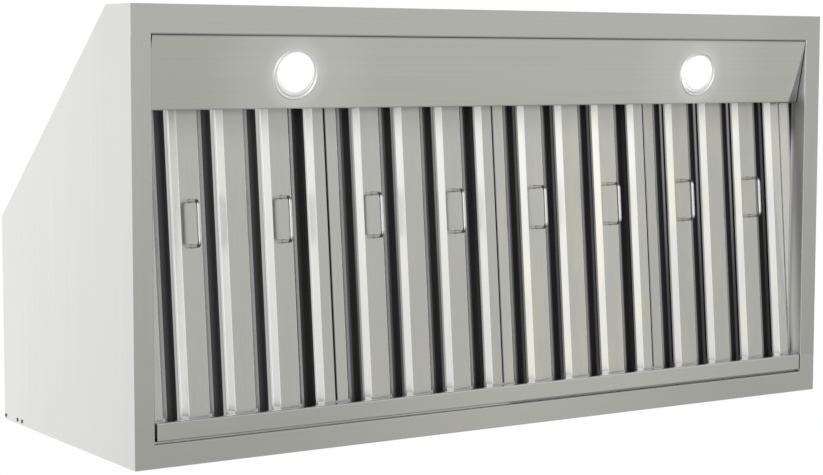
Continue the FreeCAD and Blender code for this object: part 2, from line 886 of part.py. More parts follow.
# Bushing through the back panel and the junction box, where the supply cable comes in
def cable_bushing():
    through = sheet + box_wall
    solid = turned([
        (bushing_bore, 0),
        (bushing_bore + bushing_wall, 0),
        (bushing_bore + bushing_wall, through),
        (bushing_bore + bushing_wall + bushing_head, through),
        (bushing_bore + bushing_wall, bushing_length),
        (bushing_bore, bushing_length),
    ])
    solid.Placement = FreeCAD.Placement(V(box_x, 0, box_z), FreeCAD.Rotation(along_x, 90))
    return solid


# Lamp driver with an ear at each end
def lamp_driver():
    half = driver_width / 2
    rise = driver_height / 2
    body = box(-half, half, -sheet - driver_depth, -sheet, -rise, rise)
    ears = box(-half - driver_ear, half + driver_ear, -2 * sheet, -sheet, -rise, rise)
    solid = body.fuse(ears).removeSplitter()
    solid.translate(V(-box_x, 0, box_z))
    return solid


def dome(base, axis, radius, height):
    head = disc(radius, height, base, axis)
    tip = base + axis * height
    rims = [edge for edge in head.Edges if abs((edge.CenterOfMass - tip).dot(axis)) < tolerance]
    return head.makeFillet(dome_round * height, rims)


def side_rivets(side):
    outward = along_x * side
    return [
        dome(V(side * half_width, -rivet_inset, hood_height - drop), outward, rivet_radius, rivet_height)
        for drop in rivet_drops
    ]


def collar_screws():
    circle = collar_radius + collar_flange / 2
    heads = []
    for i in range(screw_count):
        angle = math.radians(360 * (i + 0.5) / screw_count)
        base = V(circle * math.cos(angle), top_hole_y + circle * math.sin(angle), hood_height + sheet)
        heads.append(dome(base, along_z, screw_radius, screw_head))
    return heads


os.makedirs("parts", exist_ok=True)

save("left_side_panel", side_panel(-1))
save("right_side_panel", side_panel(1))
save("front_canopy", front_canopy())
save("top_panel", top_panel())
save("back_panel", back_panel())
save("bottom_frame", bottom_frame())
save("rear_ledge", rear_ledge())
save("light_panel", light_panel())
save("grease_tray", grease_tray())
save_filters()
save_lamps()
save("scroll_housing", scroll_housing())
save("inlet_ring_left", inlet_ring(-1))
save("inlet_ring_right", inlet_ring(1))
save("blower_wheel", wheel())
save("wheel_shaft", wheel_shaft())
save("motor", motor())
save("motor_spider", motor_spider())
save("outlet_transition", outlet_transition())
save("duct_collar", duct_collar())
save("damper_rod", damper_rod_pin())
save("damper_flap_front", damper_flap(-1, damper_front_offset))
save("damper_flap_rear", damper_flap(1, damper_rear_offset))
save("control_fascia", control_fascia())
save("switch_block", switch_block())
for number, place in enumerate(button_places(), 1):
    save("button_" + str(number), push_button(place))
save("junction_box", junction_box())
save("junction_box_lid", junction_box_lid())
save("cable_bushing", cable_bushing())
save("lamp_driver", lamp_driver())
save("left_side_rivets", *side_rivets(-1))
save("right_side_rivets", *side_rivets(1))
save("collar_screws", *collar_screws())
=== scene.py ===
import math

import bmesh
import bpy
from mathutils import Matrix, Vector


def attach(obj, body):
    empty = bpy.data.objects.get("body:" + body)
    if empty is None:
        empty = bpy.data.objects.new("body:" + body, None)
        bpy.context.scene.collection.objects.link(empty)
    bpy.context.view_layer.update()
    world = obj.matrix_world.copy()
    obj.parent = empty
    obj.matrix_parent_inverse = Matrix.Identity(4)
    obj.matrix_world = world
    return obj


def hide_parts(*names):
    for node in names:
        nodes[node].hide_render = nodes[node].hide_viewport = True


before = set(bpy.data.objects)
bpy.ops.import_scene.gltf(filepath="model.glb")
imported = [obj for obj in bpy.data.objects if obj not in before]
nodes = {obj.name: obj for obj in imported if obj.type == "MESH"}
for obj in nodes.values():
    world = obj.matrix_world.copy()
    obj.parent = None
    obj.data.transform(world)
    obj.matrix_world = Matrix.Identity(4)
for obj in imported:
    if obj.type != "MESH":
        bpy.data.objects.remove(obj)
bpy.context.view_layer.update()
scene = bpy.context.scene
mm = 0.001
bothSides = ((-1, "left"), (1, "right"))


# the lowest and highest corner of a CAD node at rest
def boxOf(name):
    sides = list(zip(*nodes[name].bound_box))
    return Vector([min(side) for side in sides]), Vector([max(side) for side in sides])


def middleOf(name):
    low, high = boxOf(name)
    return (low + high) / 2


# camera where the photograph was taken: below the hood, to its left
camera = {
    "place": (-1.68949, -0.532548, -2.321827),
    "right": (0.83829668, -0.00152171, -0.54521221),
    "up": (0.04678076, -0.99610753, 0.07470842),
    "back": (-0.54320367, -0.08813326, -0.83496245),
    "lens": 85.949,
    "sensor": 36.0,
}


def setCamera():
    data = bpy.data.cameras.new("camera")
    data.lens = camera["lens"]
    data.sensor_width = camera["sensor"]
    data.sensor_fit = "HORIZONTAL"
    eye = bpy.data.objects.new("camera", data)
    scene.collection.objects.link(eye)
    columns = [camera[key] for key in ("right", "up", "back", "place")]
    rows = [[column[i] for column in columns] for i in range(3)]
    eye.matrix_world = Matrix(rows + [[0, 0, 0, 1]])
    scene.camera = eye


setCamera()
scene.view_settings.view_transform = "Standard"
print("camera set")


# a node's output that can stand in a Python sum
class Tap:
    def __init__(self, book, socket):
        self.book = book
        self.socket = socket

    def calc(self, operation, left, right=0.0):
        return self.book.add("ShaderNodeMath", {"operation": operation}, {0: left, 1: right})

    def __add__(self, other):
        return self.calc("ADD", self, other)

    __radd__ = __add__

    def __sub__(self, other):
        return self.calc("SUBTRACT", self, other)

    def __rsub__(self, other):
        return self.calc("SUBTRACT", other, self)

    def __mul__(self, other):
        return self.calc("MULTIPLY", self, other)

    __rmul__ = __mul__

    def __truediv__(self, other):
        return self.calc("DIVIDE", self, other)

    def __gt__(self, other):
        return self.calc("GREATER_THAN", self, other)

    def __lt__(self, other):
        return self.calc("LESS_THAN", self, other)

    def __abs__(self):
        return self.calc("ABSOLUTE", self)

    def fract(self):
        return self.calc("FRACT", self)

    # distance from the middle, where the two taps are the ways along and across
    def reach(self, other):
        return self.calc("SQRT", self * self + other * other)

    def out(self, name):
        return Tap(self.book, self.socket.node.outputs[name])


# one node tree, with every node made by add
class Book:
    def __init__(self, tree):
        self.tree = tree

    def feed(self, socket, value):
        if isinstance(value, Tap):
            self.tree.links.new(value.socket, socket)
        elif isinstance(value, list) and isinstance(value[0], Tap):
            for tap in value:
                self.tree.links.new(tap.socket, socket)
        elif isinstance(value, (tuple, list)) and len(value) == 3 and len(socket.default_value) == 4:
            socket.default_value = (*value, 1.0)
        else:
            socket.default_value = value

    def add(self, kind, settings=None, inputs=None, out=0):
        node = self.tree.nodes.new(kind)
        for key, value in (settings or {}).items():
            setattr(node, key, value)
        for key, value in (inputs or {}).items():
            self.feed(node.inputs[key], value)
        return Tap(self, node.outputs[out]) if node.outputs else None

    def mix(self, share, one, two):
        settings = {"data_type": "RGBA"}
        return self.add("ShaderNodeMix", settings, {0: share, 6: one, 7: two}, 2)

    def dim(self, tone, level):
        return self.add("ShaderNodeVectorMath", {"operation": "SCALE"}, {0: tone, "Scale": level})

    def spread(self, value, low, high, start=0.0, end=1.0):
        settings = {"interpolation_type": "SMOOTHSTEP"}
        return self.add("ShaderNodeMapRange", settings, {0: value, 1: low, 2: high, 3: start, 4: end})

    def spot(self):
        return self.add("ShaderNodeTexCoord", out="Object")

    def parts(self, vector):
        x = self.add("ShaderNodeSeparateXYZ", None, {0: vector})
        return x, x.out("Y"), x.out("Z")

    # noise whose cells measure size in metres: (x, y, z), or one length for all three
    def cloud(self, size, detail=2.0, shift=0.0):
        sides = [size] * 3 if isinstance(size, float) else size
        scale = [1 / side for side in sides]
        inputs = {"Vector": self.spot(), "Location": (shift,) * 3, "Scale": scale}
        place = self.add("ShaderNodeMapping", None, inputs)
        return self.add("ShaderNodeTexNoise", None, {"Vector": place, "Scale": 1.0, "Detail": detail})


# one material with its main shader
class Finish(Book):
    def __init__(self, name, **fixed):
        self.material = bpy.data.materials.new(name)
        self.material.use_nodes = True
        super().__init__(self.material.node_tree)
        self.shader = self.tree.nodes["Principled BSDF"]
        self.set(fixed)

    def set(self, values):
        for key, value in values.items():
            self.feed(self.shader.inputs[key], value)

    def glow(self, tone, strength=1.0):
        self.set({"Emission Color": tone, "Emission Strength": strength})

    def bump(self, height, depth):
        bump = self.add("ShaderNodeBump", None, {"Height": height, "Distance": depth, "Strength": 1.0})
        self.set({"Normal": bump})


black = (0.0, 0.0, 0.0)
white = (1.0, 1.0, 1.0)


def grey(level):
    return (level, level, level)


def scaled(tone, gain):
    return [part * gain for part in tone]


# one value turning into another as part goes from 0 to 1
def weigh(one, two, part):
    return one * (1 - part) + two * part


# noise as a swing about zero
def swing(noise, amount):
    return (noise - 0.5) * amount


# studio: white behind the object, a bright left side, a softer middle and a bright strip far right;
# it dims towards the wall, straight ahead and on the ceiling in front
studio = {
    "dim": 0.66,
    "left": (0.35, -0.45), "leftGain": 0.56,
    "right": (0.86, 0.92), "rightLow": (-0.3, -0.42), "rightGain": 2.2,
    "wallFall": (-0.45, 0.75, 1.22, 0.55), "aheadFall": (-0.4, -0.85, 1.0, 0.6),
    "ceilingAhead": (-0.12, -0.4), "ceilingUp": (0.1, 0.5), "ceiling": 0.68,
    "warm": (0.995, 1.0, 0.92), "cool": (1.0, 1.0, 0.995),
    "coolAhead": (0.3, -0.15), "coolShare": 0.7,
}


def setStudio():
    world = bpy.data.worlds.new("studio")
    scene.world = world
    world.use_nodes = True
    book = Book(world.node_tree)
    x, y, z = book.parts(book.add("ShaderNodeTexCoord", out="Generated"))
    left = book.spread(x, *studio["left"])
    right = book.spread(x, *studio["right"]) * book.spread(z, *studio["rightLow"])
    fall = book.spread(y, *studio["wallFall"]) * book.spread(y, *studio["aheadFall"])
    ceiling = book.spread(y, *studio["ceilingAhead"]) * book.spread(z, *studio["ceilingUp"])
    fall = fall * (1 - ceiling * (1 - studio["ceiling"]))
    level = (left * studio["leftGain"] + right * studio["rightGain"] + studio["dim"]) * fall
    ahead = book.spread(y, *studio["coolAhead"])
    cool = 1 - (1 - left) * (1 - ahead * studio["coolShare"])
    glow = book.dim(book.mix(cool, studio["warm"], studio["cool"]), level)
    seen = book.add("ShaderNodeLightPath", out="Is Camera Ray")
    back = world.node_tree.nodes["Background"]
    book.feed(back.inputs["Color"], book.mix(seen, glow, white))


# a pale floor far below, which neither lights the hood nor shows in its steel
backdrop = {
    "drop": 7.0, "size": 600.0, "glow": 0.12, "rough": 0.9,
    "patch": 2.0, "dark": (0.86, 0.86, 0.85), "light": (0.9, 0.9, 0.89),
}


def setFloor():
    half = backdrop["size"] / 2
    mesh = bpy.data.meshes.new("floor")
    corners = [(-half, -half), (half, -half), (half, half), (-half, half)]
    mesh.from_pydata([(x, y, -backdrop["drop"]) for x, y in corners], [], [(0, 1, 2, 3)])
    floor = bpy.data.objects.new("floor", mesh)
    scene.collection.objects.link(floor)
    floor.visible_glossy = False
    floor.visible_diffuse = False
    paint = Finish("floorPaint", Roughness=backdrop["rough"])
    patch = paint.cloud(backdrop["patch"])
    paint.set({"Base Color": paint.mix(patch, backdrop["dark"], backdrop["light"])})
    paint.glow(white, backdrop["glow"])
    mesh.materials.append(paint.material)


setStudio()
setFloor()
print("studio set")


# brushed stainless sheet: fine scratches along one axis, a little cloudiness, faint handling marks
sheetLook = {
    "light": (0.655, 0.655, 0.64), "dark": (0.625, 0.625, 0.61), "contrast": (0.2, 0.8),
    "fine": 0.001, "fineRun": 0.30,
    "coarse": 0.004, "coarseRun": 0.51, "coarseShift": 3.1, "coarseShare": 0.7,
    "cloud": 0.35, "cloudShare": 0.2,
    "rough": 0.24, "roughSwing": 0.05,
    "mark": (0.14, 0.2, 0.16), "markShift": 7.7, "markRough": (0.4, 0.7, 0.0, 0.03),
    "depth": 0.000006,
}


def streaks(finish, axis, shift=0.0):
    fine = [sheetLook["fine"]] * 3
    coarse = [sheetLook["coarse"]] * 3
    fine[axis] = sheetLook["fineRun"]
    coarse[axis] = sheetLook["coarseRun"]
    scratches = finish.cloud(fine, detail=3.0, shift=shift)
    return scratches, finish.cloud(coarse, shift=shift + sheetLook["coarseShift"])


def grainOf(finish, fine, coarse):
    cloud = finish.cloud(sheetLook["cloud"])
    grain = weigh(fine, coarse, sheetLook["coarseShare"])
    return grain, finish.spread(weigh(grain, cloud, sheetLook["cloudShare"]), *sheetLook["contrast"])


def sheetTone(finish, tone, gain=1.0):
    return finish.mix(tone, scaled(sheetLook["dark"], gain), scaled(sheetLook["light"], gain))


# paintedLight, where given, dims the colour by place, painting light and shade on the sheet
def brushedSteel(name, axis, paintedLight=None):
    finish = Finish(name, Metallic=1.0)
    fine, coarse = streaks(finish, axis)
    grain, tone = grainOf(finish, fine, coarse)
    sheet = sheetTone(finish, tone)
    finish.set({"Base Color": finish.dim(sheet, paintedLight(finish)) if paintedLight else sheet})
    mark = finish.cloud(sheetLook["mark"], detail=1.0, shift=sheetLook["markShift"])
    rough = swing(fine, sheetLook["roughSwing"]) + finish.spread(mark, *sheetLook["markRough"])
    finish.set({"Roughness": rough + sheetLook["rough"]})
    finish.bump(grain, sheetLook["depth"])
    return finish.material


# painted light: the side sheets are painted lighter towards the wall and the top
sideLook = {"base": 1.04, "wall": 0.22, "top": 0.24}


def sideDrift(finish):
    x, y, z = finish.parts(finish.spot())
    return y * sideLook["wall"] + z * sideLook["top"] + sideLook["base"]


# painted sheen: the tray is painted lightest right of its middle
trayLook = {"lightest": 0.12, "fall": (0.1, 0.55, 1.17, 0.99)}


def trayDrift(finish):
    x, y, z = finish.parts(finish.spot())
    return finish.spread(abs(x - trayLook["lightest"]), *trayLook["fall"])


# light panel: the same sheet, darker towards its ends, with a painted glow round the lamps for their light
# grazing it, painted shade along its front seam and painted shade in the corner where the right wall meets it
lampX = middleOf("lamp_right_lens").x  # the left lamp mirrors the right one
panelLook = {
    "gain": 1.33, "rough": 0.22, "lampY": -0.517,
    "halo": (0.033, 0.055), "lit": (0.12, 0.124, 0.124),
    "wide": (0.045, 0.15), "wideLit": (0.045, 0.046, 0.05),
    "ends": (0.25, 0.56, 1.0, 0.93),
    "seamShade": (0.42, 0.42, 0.41), "front": -0.5685, "seamWidth": 0.0022,
    "corner": grey(0.17), "cornerShare": 0.9, "end": 0.578, "wedge": 0.19, "soft": 0.005,
}


def panelSteel(name):
    finish = Finish(name, Metallic=1.0)
    fine, coarse = streaks(finish, 0)
    grain, tone = grainOf(finish, fine, coarse)
    x, y, z = finish.parts(finish.spot())
    far = (abs(x) - lampX).reach(y - panelLook["lampY"])
    halo = finish.spread(far, *panelLook["halo"], 1.0, 0.0)
    wide = finish.spread(far, *panelLook["wide"], 1.0, 0.0)
    # painted shade along the front seam and in the corner by the right wall
    seamShade = finish.spread(y, panelLook["front"] + panelLook["seamWidth"], panelLook["front"])
    past = x - panelLook["end"] + (y - panelLook["front"]) * panelLook["wedge"]
    corner = finish.spread(past, 0.0, panelLook["soft"], 0.0, panelLook["cornerShare"])
    plain = sheetTone(finish, tone, panelLook["gain"])
    plain = finish.dim(plain, finish.spread(abs(x), *panelLook["ends"]))
    plain = finish.mix(seamShade, plain, panelLook["seamShade"])
    finish.set({"Base Color": finish.mix(corner, plain, panelLook["corner"])})
    # painted glow round the lamps
    around = finish.mix(wide, black, panelLook["wideLit"])
    finish.glow(finish.mix(halo, around, panelLook["lit"]))
    finish.set({"Roughness": swing(fine, sheetLook["roughSwing"]) + panelLook["rough"]})
    finish.bump(grain, sheetLook["depth"])
    return finish.material


# bottom frame: scratches follow each flange; the flanges are painted lighter and darker across the frame as
# light and shade, the bends are painted dark as shade, the turned-up walls are painted darker except at the
# front and on the left, and all but the left one are rougher
rimLook = {
    "side": 0.5801, "sideShift": 5.0, "rear": -0.06,
    "rearFall": (0.0, 0.5, 1.14, 0.97),
    "rightFall": (0.42, 0.58, 1.04, 0.95), "backFall": (-0.45, -0.05, 1.0, 0.95),
    "bend": (0.00003, 0.0002), "bendShade": (0.4, 0.4, 0.39), "bendFrom": (-0.5675, -0.565),
    "wallZ": 0.0016, "wallTone": (0.64, 0.64, 0.63), "wallRough": 0.36,
    "frontWall": (-0.47, -0.49), "frontTone": grey(0.95),
    "leftTone": grey(0.92), "leftRough": 0.16,
}


def rimSteel(name):
    finish = Finish(name, Metallic=1.0)
    x, y, z = finish.parts(finish.spot())
    onSide = abs(x) > rimLook["side"]
    pairs = zip(streaks(finish, 0), streaks(finish, 1, rimLook["sideShift"]))
    fine, coarse = [weigh(lengthways, sideways, onSide) for lengthways, sideways in pairs]
    grain, tone = grainOf(finish, fine, coarse)
    # painted light and shade: the flanges lighten and darken across the frame
    rearLevel = finish.spread(abs(x), *rimLook["rearFall"])
    level = finish.spread(x, *rimLook["rightFall"]) * finish.spread(y, *rimLook["backFall"])
    flange = finish.dim(sheetTone(finish, tone), weigh(level, rearLevel, y > rimLook["rear"]))
    # painted shade along the bends
    bend = finish.spread(z, *rimLook["bend"]) * finish.spread(y, *rimLook["bendFrom"])
    flange = finish.mix(bend, flange, rimLook["bendShade"])
    # the front and left walls are painted lighter than the others: lit and shaded copies of one sheet
    left = x < 0.0
    front = finish.spread(y, *rimLook["frontWall"])
    upright = finish.mix(front, rimLook["wallTone"], rimLook["frontTone"])
    upright = finish.mix(left, upright, rimLook["leftTone"])
    wall = z > rimLook["wallZ"]
    finish.set({"Base Color": finish.mix(wall, flange, upright)})
    rough = swing(fine, sheetLook["roughSwing"]) + sheetLook["rough"]
    wallRough = left * (rimLook["leftRough"] - rimLook["wallRough"]) + rimLook["wallRough"]
    finish.set({"Roughness": weigh(rough, wallRough, wall)})
    finish.bump(grain, sheetLook["depth"])
    return finish.material


# guide strip: bright face; its folded lower edge is rougher and painted dark as shade, most towards the front
stripLook = {
    "gain": 1.05, "rough": 0.07, "roughSwing": 0.03,
    "edge": (0.0283, 0.0277), "edgeRough": 0.4,
    "edgeShades": (grey(0.15), grey(0.5)), "edgeTurn": (-0.44, -0.39),
}


def stripSteel(name):
    finish = Finish(name, Metallic=1.0)
    fine, coarse = streaks(finish, 1)
    grain, tone = grainOf(finish, fine, coarse)
    x, y, z = finish.parts(finish.spot())
    # painted shade on the rolled lower edge, darkest at the front
    edge = finish.spread(z, *stripLook["edge"])
    edgeShade = finish.mix(finish.spread(y, *stripLook["edgeTurn"]), *stripLook["edgeShades"])
    finish.set({"Base Color": finish.mix(edge, sheetTone(finish, tone, stripLook["gain"]), edgeShade)})
    rough = swing(fine, stripLook["roughSwing"]) + edge * stripLook["edgeRough"]
    finish.set({"Roughness": rough + stripLook["rough"]})
    finish.bump(grain, sheetLook["depth"])
    return finish.material


# how the filters lie: the tilt and front end of their face, the step from slot to slot, and where each
# filter's last slot begins
bank = {
    "count": 4, "tilt": math.radians(4.85), "front": (-0.4869, 0.05982), "slotPitch": 0.0703,
    "lastSlot": ((-0.38, -0.35), (-0.09, -0.06), (0.2, 0.23), (0.49, 0.52)),
}
filterNumbers = range(1, bank["count"] + 1)


def filterMiddle(number):
    return middleOf("filter_" + str(number) + "_frame").x


# how far a spot lies behind the filters' face
def behindFace(y, z):
    frontY, frontZ = bank["front"]
    return (y - frontY) * math.sin(bank["tilt"]) + (z - frontZ) * math.cos(bank["tilt"])


# how far a spot lies to the right of the nearest slot's middle
def besideSlot(x, number):
    turns = (x - filterMiddle(number)) / bank["slotPitch"]
    return (turns.fract() - 0.5) * bank["slotPitch"]


# one filter's own values, where a look holds a row of four
def rowOf(look, number, *keys):
    return [look[key][number - 1] for key in keys]


# filter sheet: bright rolled stainless, slightly wavy, with warm tints that differ from filter to filter;
# painted shade near the light panel, a painted highlight on the softer bevels, painted shade on edges beside
# another filter, brims behind the face rougher and painted dark as shade, lighter on a slot's right side, and
# a painted glow at its rear end
filterLook = {
    "light": (0.665, 0.668, 0.645), "dark": (0.615, 0.618, 0.595), "coarseShare": 0.3, "shift": 2.7,
    "tint": (0.72, 0.685, 0.605), "tints": (0.12, 0.2, 0.8, 0.6),
    "patch": (0.028, 0.11, 0.5), "patchFrom": (0.42, 0.68), "patchShift": 1.3,
    "shade": (-0.474, -0.41, 0.82, 1.0), "gains": (0.98, 1.0, 1.06, 0.97),
    "rough": 0.2, "roughSwing": 0.06,
    "wave": (0.05, 0.16, 0.5), "waveDepth": 0.00008, "waveShift": 9.0,
    "bevel": (0.0004, 0.0014), "bevelRough": 0.12,
    "bevelHighlight": (-0.42, -0.1, 0.15, 0.03), "firstHighlight": (-0.5, -0.53, 0.0, 0.1),
    "edge": (0.1418, 0.1428), "edgeShades": (0.06, 0.08, 0.2, 0.28),
    "brimDepth": (0.0069, 0.0075), "brimRough": 0.15, "brimGlow": 0.08,
    "brims": ((0.42, 0.92), (0.36, 0.55), (0.32, 0.34), (0.32, 0.55)),
    "rearEnd": -0.058, "rearGlow": (0.001, 0.0042, 0.2, 0.0), "rearBevel": 0.6,
}


def filterSteel(name, number):
    tint, gain, edgeShade, brims = rowOf(filterLook, number, "tints", "gains", "edgeShades", "brims")
    shift = filterLook["shift"] * number
    finish = Finish(name, Metallic=1.0)
    fine, coarse = streaks(finish, 1, shift)
    tone = finish.spread(weigh(fine, coarse, filterLook["coarseShare"]), *sheetLook["contrast"])
    plain = finish.mix(tone, filterLook["dark"], filterLook["light"])
    patch = finish.cloud(filterLook["patch"], shift=shift + filterLook["patchShift"])
    stain = finish.spread(patch, *filterLook["patchFrom"], 0.0, tint)
    x, y, z = finish.parts(finish.spot())
    depth = behindFace(y, z)
    dullAndShaded = finish.spread(depth, *filterLook["brimDepth"])
    bevel = finish.spread(depth, *filterLook["bevel"]) * (1 - dullAndShaded)
    across = x - filterMiddle(number)
    # only an edge beside another filter is painted with shade, so the outermost two filters have one way
    # inward
    inward = {1: 1, bank["count"]: -1}
    reach = across * inward[number] if number in inward else abs(across)
    edge = finish.spread(reach, *filterLook["edge"])
    # painted highlight on the bevels, strongest at the front and on the first filter; painted shade near the
    # light panel
    lift = finish.spread(y, *filterLook["bevelHighlight"])
    if number == 1:
        lift = lift + finish.spread(x, *filterLook["firstHighlight"])
    level = finish.spread(y, *filterLook["shade"]) * gain * (bevel * lift + 1)
    face = finish.dim(finish.mix(stain, plain, filterLook["tint"]), level)
    face = finish.mix(edge, face, grey(edgeShade))
    # brims painted dark as shade, lighter on a slot's right side
    rightSide = besideSlot(x, number) > 0.0
    brim = finish.mix(rightSide, *[grey(part) for part in brims])
    finish.set({"Base Color": finish.mix(dullAndShaded, face, brim)})
    # painted glow at the rear end, and on the first filter's right brims
    glow = finish.spread(abs(y - filterLook["rearEnd"]), *filterLook["rearGlow"])
    glow = glow * (1 - dullAndShaded) * (bevel * filterLook["rearBevel"] + 1)
    if number == 1:
        first = finish.spread(x, *bank["lastSlot"][0], filterLook["brimGlow"], 0.0)
        glow = glow + dullAndShaded * rightSide * first
    finish.glow(finish.dim(white, glow))
    rough = swing(fine, filterLook["roughSwing"]) + dullAndShaded * filterLook["brimRough"]
    finish.set({"Roughness": rough + bevel * filterLook["bevelRough"] + filterLook["rough"]})
    wave = finish.cloud(filterLook["wave"], detail=1.0, shift=shift + filterLook["waveShift"])
    finish.bump(wave, filterLook["waveDepth"])
    return finish.material


# rear baffles: channels behind the slots, with floors painted dark as shade, lighter to the left; a painted
# glow lies along each right leg, but hardly in a filter's last slot
innerLook = {
    "legs": (0.92, 0.8, 0.7, 0.7), "legDark": 0.9, "shift": 4.4,
    "haze": (0.03, 0.08, 0.03), "hazeShift": 2.2, "hazeShare": 0.5,
    "rough": (0.1, 0.15, 0.2, 0.2), "roughSwing": 0.04, "hazeRough": 0.06, "depth": 0.000008,
    "floorDepth": (0.0236, 0.0246), "floorRough": 0.4, "floorTint": (1.0, 1.0, 1.08),
    "floorLeft": (0.12, 0.24, 0.3, 0.1), "floorRight": (0.045, 0.06, 0.06, 0.06),
    "floorTurn": ((0.002, 0.01), (0.0035, 0.0075), (0.0045, 0.0075), (0.007, 0.011)),
    "legFrom": (0.0136, 0.0144), "legEnds": (-0.42, -0.133),
    "legGlow": ((0.46, 0.38), (0.2, 0.07), (0.06, 0.035), (0.22, 0.035)), "lastGlow": (0.0, 0.0, 0.0, 0.25),
    "band": (0.018, 0.0165, 0.019, 0.0205),
    "bandSoft": ((0.02, 0.03), (0.003, 0.0055), (0.0012, 0.0042), (0.001, 0.0038)),
}


def innerSteel(name, number):
    legTone, rough = rowOf(innerLook, number, "legs", "rough")
    turn, left, right = rowOf(innerLook, number, "floorTurn", "floorLeft", "floorRight")
    ends, last, band, soft = rowOf(innerLook, number, "legGlow", "lastGlow", "band", "bandSoft")
    finish = Finish(name, Metallic=1.0)
    fine, coarse = streaks(finish, 1, innerLook["shift"])
    haze = finish.cloud(innerLook["haze"], detail=3.0, shift=innerLook["hazeShift"])
    cloudy = weigh(coarse, haze, innerLook["hazeShare"])
    legs = finish.mix(cloudy, grey(legTone * innerLook["legDark"]), grey(legTone))
    x, y, z = finish.parts(finish.spot())
    depth = behindFace(y, z)
    # floors painted dark as shade
    floor = finish.spread(depth, *innerLook["floorDepth"])
    beside = besideSlot(x, number)
    bottom = finish.dim(innerLook["floorTint"], finish.spread(beside, *turn, left, right))
    finish.set({"Base Color": finish.mix(floor, legs, bottom)})
    # painted glow along each right leg
    lit = finish.spread(y, *innerLook["legEnds"], *ends)
    lit = lit * finish.spread(abs(depth - band), *soft, 1.0, 0.0)
    lit = lit * finish.spread(beside, *innerLook["legFrom"])
    lit = lit * finish.spread(x, *bank["lastSlot"][number - 1], 1.0, last)
    finish.glow(finish.dim(white, lit))
    uneven = swing(fine, innerLook["roughSwing"]) + haze * innerLook["hazeRough"]
    finish.set({"Roughness": uneven + floor * innerLook["floorRough"] + rough})
    finish.bump(fine, innerLook["depth"])
    return finish.material


# galvanised sheet: crystals of slightly different grey
zincLook = {
    "light": (0.62, 0.64, 0.65), "dark": (0.47, 0.49, 0.50), "cell": 0.014, "haze": 0.05, "hazeShare": 0.3,
    "rough": 0.36, "cellRough": 0.14, "hazeRough": 0.06, "depth": 0.00003,
}


def galvanised(name):
    finish = Finish(name, Metallic=1.0)
    cells = {"Vector": finish.spot(), "Scale": 1 / zincLook["cell"]}
    crystal = finish.add("ShaderNodeTexVoronoi", None, cells, "Color")
    shade, gloss = finish.parts(crystal)[:2]
    haze = finish.cloud(zincLook["haze"], detail=3.0)
    tone = weigh(shade, haze, zincLook["hazeShare"])
    finish.set({"Base Color": finish.mix(tone, zincLook["dark"], zincLook["light"])})
    rough = swing(gloss, zincLook["cellRough"]) + swing(haze, zincLook["hazeRough"])
    finish.set({"Roughness": rough + zincLook["rough"]})
    finish.bump(haze, zincLook["depth"])
    return finish.material


# smooth drawn steel for rods, screws, rivets and welds
drawnLook = {
    "fine": 0.0006, "run": 0.02, "dark": 0.9, "haze": 0.01, "hazeShift": 4.0,
    "roughSwing": 0.08, "hazeRough": 0.06, "depth": 0.000006,
}
drawn = {
    "rod": {"tone": (0.72, 0.72, 0.71), "rough": 0.2, "axis": 0},
    "screw": {"tone": (0.68, 0.68, 0.67), "rough": 0.26, "axis": 2},
    "rivet": {"tone": (0.16, 0.16, 0.16), "rough": 0.35, "axis": 2},
    "weld": {"tone": (0.28, 0.28, 0.27), "rough": 0.4, "axis": 2},
}


def drawnGrain(finish, axis):
    size = [drawnLook["fine"]] * 3
    size[axis] = drawnLook["run"]
    return finish.cloud(size)


def drawnSteel(name):
    tone = drawn[name]["tone"]
    finish = Finish(name, Metallic=1.0)
    grain = drawnGrain(finish, drawn[name]["axis"])
    haze = finish.cloud(drawnLook["haze"], shift=drawnLook["hazeShift"])
    finish.set({"Base Color": finish.mix(grain, scaled(tone, drawnLook["dark"]), tone)})
    rough = swing(grain, drawnLook["roughSwing"]) + swing(haze, drawnLook["hazeRough"])
    finish.set({"Roughness": rough + drawn[name]["rough"]})
    finish.bump(grain, drawnLook["depth"])
    return finish.material


# pulls: a painted highlight on the bar's outer half; its inner half is painted dark as tarnish and shade, the
# legs less so
pullLook = {
    "bright": (0.72, 0.72, 0.71), "dark": 0.92, "rough": 0.19,
    "tarnishAndShade": (0.16, 0.16, 0.15), "from": (-0.0254, -0.024), "tarnishRough": 0.15,
    "legs": (0.5, 0.5, 0.49), "legsFrom": (-0.0215, -0.019),
}


def pullSteel(name):
    finish = Finish(name, Metallic=1.0)
    grain = drawnGrain(finish, 1)
    x, y, z = finish.parts(finish.spot())
    depth = behindFace(y, z)
    # painted shade, with tarnish, on the bar's inner half and, less dark, on the legs
    inner = finish.spread(depth, *pullLook["from"])
    bright = finish.mix(grain, scaled(pullLook["bright"], pullLook["dark"]), pullLook["bright"])
    dullAndShaded = finish.mix(finish.spread(depth, *pullLook["legsFrom"]), pullLook["tarnishAndShade"], pullLook["legs"])
    finish.set({"Base Color": finish.mix(inner, bright, dullAndShaded)})
    rough = swing(grain, drawnLook["roughSwing"]) + inner * pullLook["tarnishRough"]
    finish.set({"Roughness": rough + pullLook["rough"]})
    finish.bump(grain, drawnLook["depth"])
    return finish.material


# lamp trim: satin chrome with a faint painted glow all over and a stronger one in its groove for the lens's
# light, and an oval painted flare about each lens
trimLook = {
    "tone": grey(0.78), "dark": 0.95, "haze": 0.004, "hazeShift": 4.0,
    "rough": 0.36, "roughSwing": 0.1, "depth": 0.000004,
    "lit": (0.0335, 0.031), "rim": (0.08, 0.082, 0.084), "groove": grey(0.16),
    "flare": grey(0.6), "flareSoft": (1.08, 0.96),
    "flareAt": {-1: (-0.001, -0.003), 1: (-0.004, -0.0012)},
    "flareSize": {-1: (0.0276, 0.0272), 1: (0.03, 0.0262)},
}


